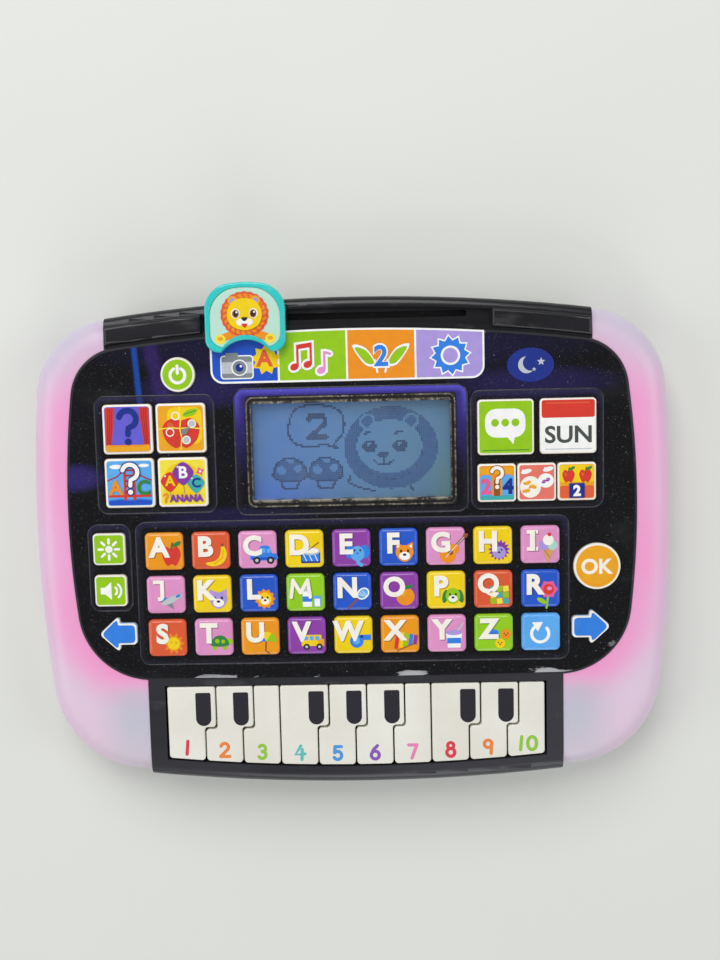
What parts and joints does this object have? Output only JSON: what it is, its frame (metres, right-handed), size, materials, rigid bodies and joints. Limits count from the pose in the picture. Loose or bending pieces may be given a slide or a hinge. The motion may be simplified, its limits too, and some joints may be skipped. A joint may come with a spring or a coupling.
{
  "type": "kids toy tablet",
  "caption": "Toy learning tablet with letter keys, a small screen, picture buttons, a sliding mode selector, piano keys and light-up side bumpers.",
  "frame": {"origin": "middle of the bounding box in plan, on the table plane under the rubber feet", "axes": "+X to the right of the face, +Y towards the slider edge, +Z out of the face; the tablet lies on its back"},
  "size_m": [0.264, 0.2086, 0.0341],
  "materials": {
    "black_plastic": "satin black moulded ABS",
    "rear_plastic": "fine matt moulded ABS",
    "printed_film": "glossy printed film",
    "frosted_plastic": "frosted translucent plastic, lit from inside",
    "key_print": "printed glossy key caps",
    "green_cap": "printed glossy cap",
    "blue_cap": "printed glossy cap",
    "amber_cap": "printed glossy cap",
    "picture_cap": "printed glossy cap",
    "piano_white": "cream-white moulded ABS",
    "turquoise_plastic": "moulded ABS",
    "picture_card": "printed label",
    "slider_black": "acetal",
    "bezel_silver": "worn dark silver paint",
    "clear_window": "clear acrylic",
    "lcd_glass": "LCD glass",
    "white_plastic": "diffuser",
    "board_green": "solder mask",
    "grey_rubber": "silicone rubber",
    "black_rubber": "rubber",
    "steel": "zinc-plated steel",
    "cell_jacket": "plain cell jacket",
    "speaker_black": "paper cone and steel basket"
  },
  "bodies": {
    "case": {"battery_contacts": "steel", "battery_door": "rear_plastic", "battery_door_screw": "steel", "board_ribbon": "white_plastic", "case_screws": "steel", "cells": "cell_jacket", "face_overlay": "printed_film", "front_case": "black_plastic", "keypad_membrane": "grey_rubber", "lcd_backlight": "white_plastic", "lcd_bezel": "bezel_silver", "lcd_connector_strip": "grey_rubber", "lcd_panel": "lcd_glass", "lcd_window": "clear_window", "led_board_left": "board_green", "led_board_right": "board_green", "light_bumper_left": "frosted_plastic", "light_bumper_right": "frosted_plastic", "main_board": "board_green", "piano_contact_board": "board_green", "piano_domes": "grey_rubber", "piano_hinge_rod": "steel", "rear_case": "rear_plastic", "rubber_feet": "black_rubber", "slider_contact_board": "board_green", "speaker": "speaker_black", "speaker_ring": "black_plastic", "top_rail": "black_plastic"},
    "slider": {"slider_frame": "turquoise_plastic", "slider_picture": "picture_card", "slider_shoe": "slider_black"},
    "button_arrow_left_body": {"button_arrow_left": "blue_cap"},
    "button_arrow_right_body": {"button_arrow_right": "blue_cap"},
    "button_calendar_body": {"button_calendar": "picture_cap"},
    "button_game_balloons_body": {"button_game_balloons": "picture_cap"},
    "button_game_bridge_body": {"button_game_bridge": "picture_cap"},
    "button_game_puzzle_body": {"button_game_puzzle": "picture_cap"},
    "button_game_question_body": {"button_game_question": "picture_cap"},
    "button_light_body": {"button_light": "green_cap"},
    "button_number_apples_body": {"button_number_apples": "picture_cap"},
    "button_number_count_body": {"button_number_count": "picture_cap"},
    "button_number_share_body": {"button_number_share": "picture_cap"},
    "button_ok_body": {"button_ok": "amber_cap"},
    "button_power_body": {"button_power": "green_cap"},
    "button_talk_body": {"button_talk": "picture_cap"},
    "button_volume_body": {"button_volume": "green_cap"},
    "letter_keys_row_1_body": {"letter_keys_row_1": "key_print"},
    "letter_keys_row_2_body": {"letter_keys_row_2": "key_print"},
    "letter_keys_row_3_body": {"letter_keys_row_3": "key_print"},
    "piano_key_1_body": {"piano_key_1": "piano_white"},
    "piano_key_2_body": {"piano_key_2": "piano_white"},
    "piano_key_3_body": {"piano_key_3": "piano_white"},
    "piano_key_4_body": {"piano_key_4": "piano_white"},
    "piano_key_5_body": {"piano_key_5": "piano_white"},
    "piano_key_6_body": {"piano_key_6": "piano_white"},
    "piano_key_7_body": {"piano_key_7": "piano_white"},
    "piano_key_8_body": {"piano_key_8": "piano_white"},
    "piano_key_9_body": {"piano_key_9": "piano_white"},
    "piano_key_10_body": {"piano_key_10": "piano_white"}
  },
  "joints": [
    {"name": "slider_slide", "type": "slide", "parent": "case", "child": "slider", "axis": [1, 0, 0], "range_m": [0, 0.0802]},
    {"name": "button_arrow_left_press", "type": "slide", "parent": "case", "child": "button_arrow_left_body", "axis": [0, 0, -1], "range_m": [0, 0.0008], "stiffness_N_per_m": 1500, "springref_m": -0.0005},
    {"name": "button_arrow_right_press", "type": "slide", "parent": "case", "child": "button_arrow_right_body", "axis": [0, 0, -1], "range_m": [0, 0.0008], "stiffness_N_per_m": 1500, "springref_m": -0.0005},
    {"name": "button_calendar_press", "type": "slide", "parent": "case", "child": "button_calendar_body", "axis": [0, 0, -1], "range_m": [0, 0.0008], "stiffness_N_per_m": 1500, "springref_m": -0.0005},
    {"name": "button_game_balloons_press", "type": "slide", "parent": "case", "child": "button_game_balloons_body", "axis": [0, 0, -1], "range_m": [0, 0.0008], "stiffness_N_per_m": 1500, "springref_m": -0.0005},
    {"name": "button_game_bridge_press", "type": "slide", "parent": "case", "child": "button_game_bridge_body", "axis": [0, 0, -1], "range_m": [0, 0.0008], "stiffness_N_per_m": 1500, "springref_m": -0.0005},
    {"name": "button_game_puzzle_press", "type": "slide", "parent": "case", "child": "button_game_puzzle_body", "axis": [0, 0, -1], "range_m": [0, 0.0008], "stiffness_N_per_m": 1500, "springref_m": -0.0005},
    {"name": "button_game_question_press", "type": "slide", "parent": "case", "child": "button_game_question_body", "axis": [0, 0, -1], "range_m": [0, 0.0008], "stiffness_N_per_m": 1500, "springref_m": -0.0005},
    {"name": "button_light_press", "type": "slide", "parent": "case", "child": "button_light_body", "axis": [0, 0, -1], "range_m": [0, 0.0008], "stiffness_N_per_m": 1500, "springref_m": -0.0005},
    {"name": "button_number_apples_press", "type": "slide", "parent": "case", "child": "button_number_apples_body", "axis": [0, 0, -1], "range_m": [0, 0.0008], "stiffness_N_per_m": 1500, "springref_m": -0.0005},
    {"name": "button_number_count_press", "type": "slide", "parent": "case", "child": "button_number_count_body", "axis": [0, 0, -1], "range_m": [0, 0.0008], "stiffness_N_per_m": 1500, "springref_m": -0.0005},
    {"name": "button_number_share_press", "type": "slide", "parent": "case", "child": "button_number_share_body", "axis": [0, 0, -1], "range_m": [0, 0.0008], "stiffness_N_per_m": 1500, "springref_m": -0.0005},
    {"name": "button_ok_press", "type": "slide", "parent": "case", "child": "button_ok_body", "axis": [0, 0, -1], "range_m": [0, 0.0008], "stiffness_N_per_m": 1500, "springref_m": -0.0005},
    {"name": "button_power_press", "type": "slide", "parent": "case", "child": "button_power_body", "axis": [0, 0, -1], "range_m": [0, 0.0008], "stiffness_N_per_m": 1500, "springref_m": -0.0005},
    {"name": "button_talk_press", "type": "slide", "parent": "case", "child": "button_talk_body", "axis": [0, 0, -1], "range_m": [0, 0.0008], "stiffness_N_per_m": 1500, "springref_m": -0.0005},
    {"name": "button_volume_press", "type": "slide", "parent": "case", "child": "button_volume_body", "axis": [0, 0, -1], "range_m": [0, 0.0008], "stiffness_N_per_m": 1500, "springref_m": -0.0005},
    {"name": "letter_keys_row_1_press", "type": "slide", "parent": "case", "child": "letter_keys_row_1_body", "axis": [0, 0, -1], "range_m": [0, 0.0008], "stiffness_N_per_m": 2500, "springref_m": -0.0005},
    {"name": "letter_keys_row_2_press", "type": "slide", "parent": "case", "child": "letter_keys_row_2_body", "axis": [0, 0, -1], "range_m": [0, 0.0008], "stiffness_N_per_m": 2500, "springref_m": -0.0005},
    {"name": "letter_keys_row_3_press", "type": "slide", "parent": "case", "child": "letter_keys_row_3_body", "axis": [0, 0, -1], "range_m": [0, 0.0008], "stiffness_N_per_m": 2500, "springref_m": -0.0005},
    {"name": "piano_key_1_press", "type": "hinge", "parent": "case", "child": "piano_key_1_body", "pos_m": [0, -0.054, 0.022], "axis": [1, 0, 0], "range_deg": [0, 4], "stiffness_Nm_per_rad": 0.25, "springref_deg": -3.44},
    {"name": "piano_key_2_press", "type": "hinge", "parent": "case", "child": "piano_key_2_body", "pos_m": [0, -0.054, 0.022], "axis": [1, 0, 0], "range_deg": [0, 4], "stiffness_Nm_per_rad": 0.25, "springref_deg": -3.44},
    {"name": "piano_key_3_press", "type": "hinge", "parent": "case", "child": "piano_key_3_body", "pos_m": [0, -0.054, 0.022], "axis": [1, 0, 0], "range_deg": [0, 4], "stiffness_Nm_per_rad": 0.25, "springref_deg": -3.44},
    {"name": "piano_key_4_press", "type": "hinge", "parent": "case", "child": "piano_key_4_body", "pos_m": [0, -0.054, 0.022], "axis": [1, 0, 0], "range_deg": [0, 4], "stiffness_Nm_per_rad": 0.25, "springref_deg": -3.44},
    {"name": "piano_key_5_press", "type": "hinge", "parent": "case", "child": "piano_key_5_body", "pos_m": [0, -0.054, 0.022], "axis": [1, 0, 0], "range_deg": [0, 4], "stiffness_Nm_per_rad": 0.25, "springref_deg": -3.44},
    {"name": "piano_key_6_press", "type": "hinge", "parent": "case", "child": "piano_key_6_body", "pos_m": [0, -0.054, 0.022], "axis": [1, 0, 0], "range_deg": [0, 4], "stiffness_Nm_per_rad": 0.25, "springref_deg": -3.44},
    {"name": "piano_key_7_press", "type": "hinge", "parent": "case", "child": "piano_key_7_body", "pos_m": [0, -0.054, 0.022], "axis": [1, 0, 0], "range_deg": [0, 4], "stiffness_Nm_per_rad": 0.25, "springref_deg": -3.44},
    {"name": "piano_key_8_press", "type": "hinge", "parent": "case", "child": "piano_key_8_body", "pos_m": [0, -0.054, 0.022], "axis": [1, 0, 0], "range_deg": [0, 4], "stiffness_Nm_per_rad": 0.25, "springref_deg": -3.44},
    {"name": "piano_key_9_press", "type": "hinge", "parent": "case", "child": "piano_key_9_body", "pos_m": [0, -0.054, 0.022], "axis": [1, 0, 0], "range_deg": [0, 4], "stiffness_Nm_per_rad": 0.25, "springref_deg": -3.44},
    {"name": "piano_key_10_press", "type": "hinge", "parent": "case", "child": "piano_key_10_body", "pos_m": [0, -0.054, 0.022], "axis": [1, 0, 0], "range_deg": [0, 4], "stiffness_Nm_per_rad": 0.25, "springref_deg": -3.44}
  ]
}
